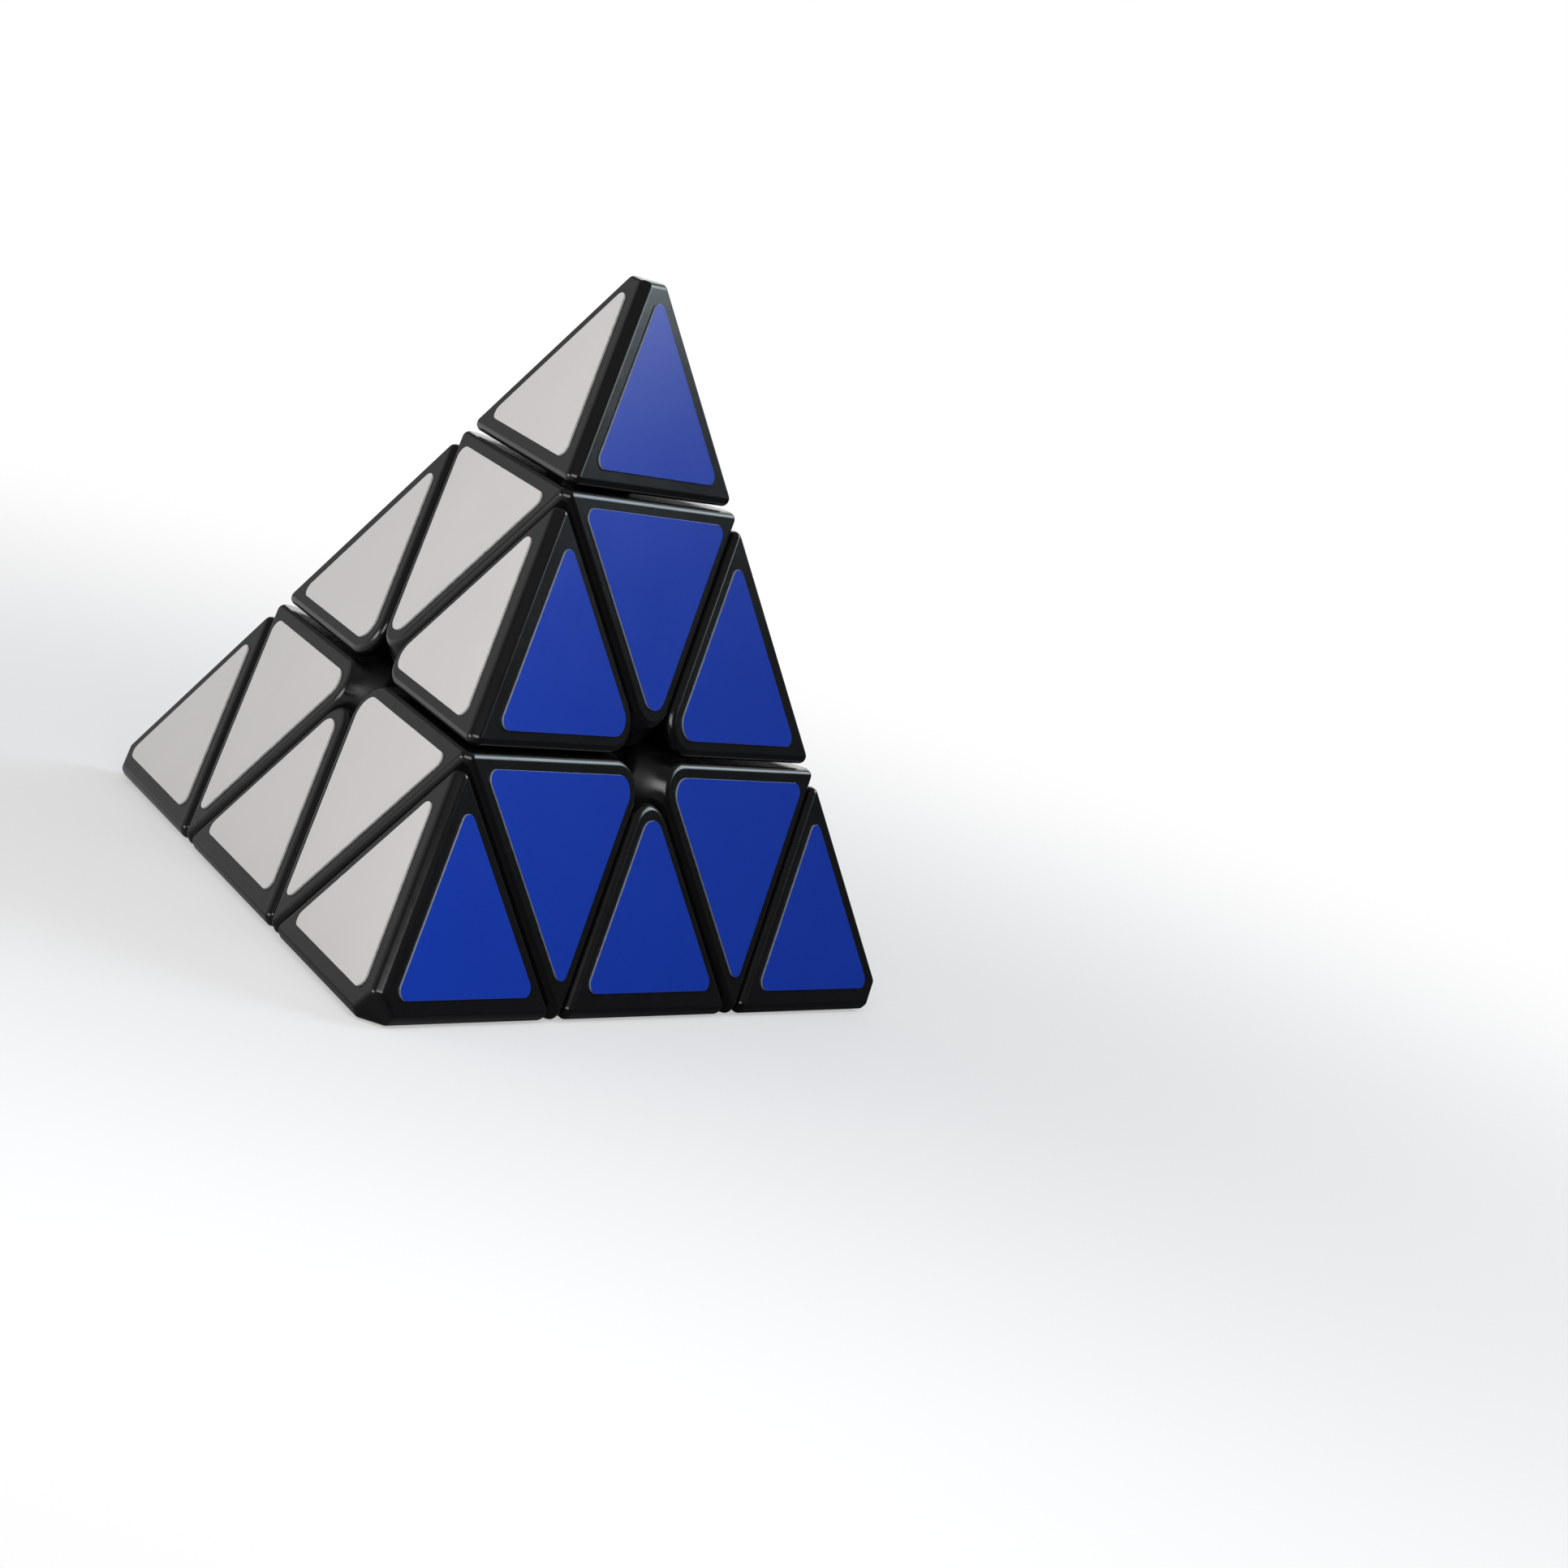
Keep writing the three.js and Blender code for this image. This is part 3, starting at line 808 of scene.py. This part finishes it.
def cutOutline(height, pointRound, dice):  # anticlockwise, as pairs of point and outward direction
    halfWidth = height / math.sqrt(3)
    outline = []
    for x, y, radius, middle in ((halfWidth, 0, sticker["round"], -30), (0, height, pointRound, 90),
                                 (-halfWidth, 0, sticker["round"], 210)):
        bisector = Vector((math.cos(math.radians(middle)), math.sin(math.radians(middle))))
        centre = Vector((x, y)) - 2 * radius * bisector
        for step in range(sticker["arcSteps"] + 1):
            angle = math.radians(middle - 60 + 120 * step / sticker["arcSteps"])
            outward = Vector((math.cos(angle), math.sin(angle)))
            outline.append((centre + radius * outward, outward))
    filled = []
    for (point, outward), (following, direction) in zip(outline, outline[1:] + outline[:1]):
        filled.append((point, outward))
        length = (following - point).length
        count = int(length / sticker["cutStep"]) if length > 2 else 0
        for step in range(1, count):
            wander = dice.uniform(-1, 1) * sticker["cutWander"]
            filled.append((point.lerp(following, step / count) + outward * wander, outward))
    return filled


def stickerMesh(height, pointRound, dice):
    form = bmesh.new()
    outline = cutOutline(height, pointRound, dice)
    top, soft = sticker["thickness"], sticker["softEdge"]
    levels = ((sticker["lift"] - adhesive, 0), (top - soft, 0), (top - soft * 0.3, soft * 0.3), (top, soft))
    rings = []
    for z, inset in levels:
        rings.append([form.verts.new((*(point - outward * inset), z)) for point, outward in outline])
    closeRings(form, rings, ends=True)
    form.normal_update()
    for face in form.faces:
        sideways = abs(face.normal.z) < 0.5
        face.material_index = 1 if sideways else 0
    return asMesh(form)


dice = random.Random(41)
for opposed in cornerNames:
    colourName = faceOpposite[opposed]
    outward = -corners[opposed]
    ringOfCorners = [name for name in cornerNames if name != opposed]
    for name in ringOfCorners:
        towards = (corners[name] - outward * corners[name].dot(outward)).normalized()
        across = towards.cross(outward)
        first, second = [other for other in ringOfCorners if other != name]
        owners = {"tip": f"{name}_tip", "axial": f"{name}_axial", "edge": f"{first}_{second}_edge"}
        for kind, (flat, point, pointRound) in triangles.items():
            turn = 0 if point > flat else math.pi
            onFace = Matrix.Translation((0, flat, 0)) @ Matrix.Rotation(turn, 4, "Z")
            place = frameOf(across, towards, outward, outward * (faceDistance + adhesive)) @ onFace
            node = f"{colourName}_sticker_{owners[kind]}"
            mesh = stickerMesh(abs(point - flat), pointRound, dice)
            addPiece(f"{colourName}_vinyl_{owners[kind]}", node, mesh, place, [cutEdges[colourName]])
print("vinyl cut, worst fit to the CAD boxes", round(worstFit, 3), "mm")


# Stage: a pale floor that fades to white, a soft sky, and softboxes

floorLook = {
    "radius": 6.0,
    "drop": 0.00002,  # how far the floor lies under the puzzle
    "mottle": {"size": 30.0, "dark": 0.99, "light": 1.01},
    "colour": (0.90, 0.90, 0.90, 1),
    "white": {"near": 0.45, "from": 0.04, "to": 0.30},  # how far the floor has gone to plain white, and where
    # what the puzzle sees of the floor: a painted bright stretch on the left that glows and lights it like a
    # lamp, and a painted dark one on the right that stands in for shade
    "bright": {"colour": (0.88, 0.88, 0.88, 1), "glow": 0.45, "x": -0.16},
    "dark": {"colour": (0.08, 0.08, 0.08, 1), "x": 0.04},
}


def floorFinish():
    finish, position = newFinish("pale floor")
    white, bright, dark = floorLook["white"], floorLook["bright"], floorLook["dark"]
    isCamera = finish.node("ShaderNodeLightPath")["Is Camera Ray"]
    distance = finish.node("ShaderNodeVectorMath", {"operation": "LENGTH"}, {0: position})["Value"]
    away = finish.ramp(distance, white["from"], white["to"])
    x = finish.node("ShaderNodeSeparateXYZ", {}, {"Vector": position})["X"]
    leftward = finish.ramp(x, dark["x"], bright["x"])
    mottle, colour = floorLook["mottle"], floorLook["colour"]
    mottled = finish.noise(position, mottle["size"])
    seen = finish.blend(mottled, shade(colour, mottle["dark"]), shade(colour, mottle["light"]))
    # painted light and shade for the puzzle only: bright on the left, dark on the right
    paintedBounceForPuzzle = finish.blend(leftward, dark["colour"], bright["colour"])
    lit = finish.node("ShaderNodeBsdfDiffuse", {}, {"Color": finish.blend(isCamera, paintedBounceForPuzzle, seen)})["BSDF"]
    glowing = finish.node("ShaderNodeEmission", {}, {"Color": (1, 1, 1, 1), "Strength": 1.0})["Emission"]
    seenWhite = white["near"] + (1 - white["near"]) * away
    # painted glow on the left of the floor, which lights the puzzle though the floor is no lamp
    paintedGlowForPuzzle = leftward * bright["glow"]
    share = isCamera * seenWhite + (1 - isCamera) * paintedGlowForPuzzle
    mixed = finish.node("ShaderNodeMixShader", {}, {0: share, 1: lit, 2: glowing})["Shader"]
    finish.node("ShaderNodeOutputMaterial", {}, {"Surface": mixed})
    return finish.owner


def addFloor():
    form = bmesh.new()
    bmesh.ops.create_circle(form, cap_ends=True, segments=96, radius=floorLook["radius"])
    mesh = asMesh(form)
    mesh.materials.append(floorFinish())
    floor = bpy.data.objects.new("floor", mesh)
    floor.location.z = cadBox[0][2] - floorLook["drop"]
    bpy.context.collection.objects.link(floor)


sky = {"horizon": 0.04, "zenith": 0.20, "rise": 1.4}


def lightSky():
    finish = Finish(bpy.data.worlds.new("soft sky"))
    bpy.context.scene.world = finish.owner
    direction = finish.node("ShaderNodeTexCoord")["Generated"]
    height = finish.node("ShaderNodeSeparateXYZ", {}, {"Vector": direction})["Z"]
    raised = finish.node("ShaderNodeMath", {"operation": "MAXIMUM"}, {0: height, 1: 0.0})[0]
    strength = sky["horizon"] + (sky["zenith"] - sky["horizon"]) * raised ** sky["rise"]
    seen = finish.node("ShaderNodeLightPath")["Is Camera Ray"]
    strength = strength * (1 - seen) + seen
    sockets = {"Color": (1, 1, 1, 1), "Strength": strength}
    background = finish.node("ShaderNodeBackground", {}, sockets)["Background"]
    finish.node("ShaderNodeOutputWorld", {}, {"Surface": background})


# azimuth from -Y towards +X and elevation from level, in degrees; glow is the panel's brightness
softboxes = {
    "leftWall": {"azimuth": -100, "elevation": 14, "distance": 0.9, "size": (1.3, 0.8), "glow": 0.30},
    "frontLeft": {"azimuth": -50, "elevation": 4, "distance": 0.9, "size": (0.6, 0.5), "glow": 5.2},
    "near": {"azimuth": 8, "elevation": 29, "distance": 0.235, "size": (0.16, 0.11), "glow": 4.6},
    "rightBackHigh": {"azimuth": 122, "elevation": 34, "distance": 0.9, "size": (0.5, 0.36), "glow": 5.5,
                      "colour": (0.78, 0.92, 1.0)},
    "back": {"azimuth": 178, "elevation": 22, "distance": 0.9, "size": (0.7, 0.5), "glow": 1.6},
}


def fromCore(azimuth, elevation, distance):
    a, e = math.radians(azimuth), math.radians(elevation)
    return distance * Vector((math.sin(a) * math.cos(e), -math.cos(a) * math.cos(e), math.sin(e)))


def addSoftboxes():
    for name, box in softboxes.items():
        light = bpy.data.lights.new(name, "AREA")
        light.shape = "RECTANGLE"
        light.size, light.size_y = box["size"]
        light.energy = box["glow"] * math.pi * light.size * light.size_y
        light.color = box.get("colour", (1, 1, 1))
        softbox = bpy.data.objects.new(name, light)
        softbox.visible_camera = False
        softbox.location = fromCore(box["azimuth"], box["elevation"], box["distance"])
        softbox.rotation_euler = (-softbox.location).to_track_quat("-Z", "Y").to_euler()
        bpy.context.collection.objects.link(softbox)


cameraLook = {
    "azimuth": 6.182,
    "elevation": 10.280,
    "distance": 0.48651,
    "aim": (0.031714, -0.002891, 0.007760),
    "roll": 17.13,
    "lens": 96.14,
    "sensor": 36.0,
}


def addCamera():
    look = cameraLook
    lens = bpy.data.cameras.new("camera")
    lens.sensor_width, lens.lens = look["sensor"], look["lens"]
    lens.clip_start, lens.clip_end = 0.01, 50
    camera = bpy.data.objects.new("camera", lens)
    camera.location = fromCore(look["azimuth"], look["elevation"], look["distance"])
    facing = (Vector(look["aim"]) - camera.location).to_track_quat("-Z", "Y")
    camera.rotation_mode = "QUATERNION"
    camera.rotation_quaternion = facing @ Quaternion((0, 0, 1), math.radians(look["roll"]))
    bpy.context.collection.objects.link(camera)
    bpy.context.scene.camera = camera


addFloor()
lightSky()
addSoftboxes()
addCamera()
bpy.context.scene.view_settings.view_transform = "Standard"
print("stage, light and camera set")
